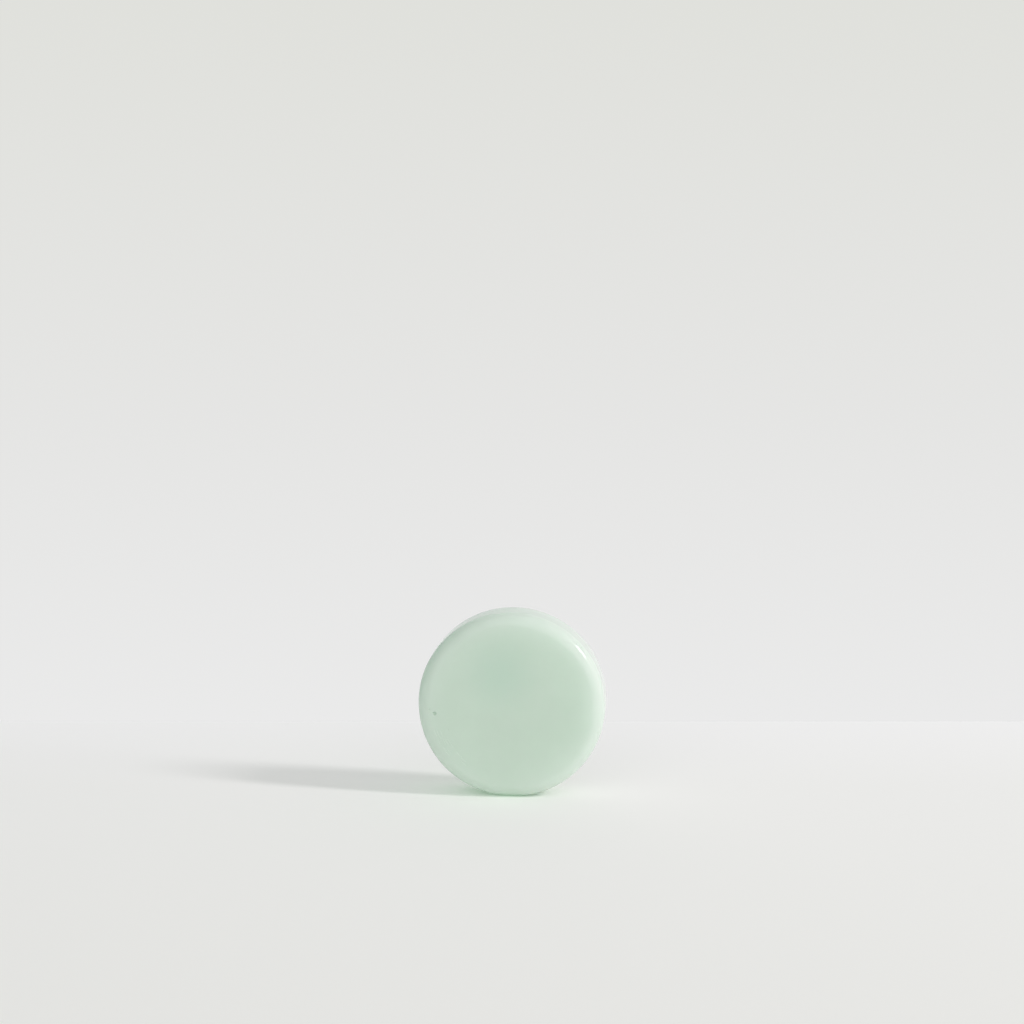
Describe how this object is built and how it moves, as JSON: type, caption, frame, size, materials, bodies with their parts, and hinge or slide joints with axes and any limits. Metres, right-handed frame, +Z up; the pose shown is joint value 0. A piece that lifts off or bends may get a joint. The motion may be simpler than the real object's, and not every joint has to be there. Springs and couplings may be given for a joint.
{
  "type": "shaving soap puck",
  "caption": "Round cake of translucent shaving soap with both edges rounded over, standing upright on a small flat worn on its rim.",
  "frame": {"origin": "on the surface that the puck stands on, under the middle of its standing flat", "axes": "+Z up, +Y along the puck's axis from its front face to its back face, +X across the puck"},
  "size_m": [0.068, 0.019, 0.0677],
  "materials": {
    "soap": "satin"
  },
  "bodies": {
    "root": {"soap_puck": "soap"}
  },
  "joints": []
}
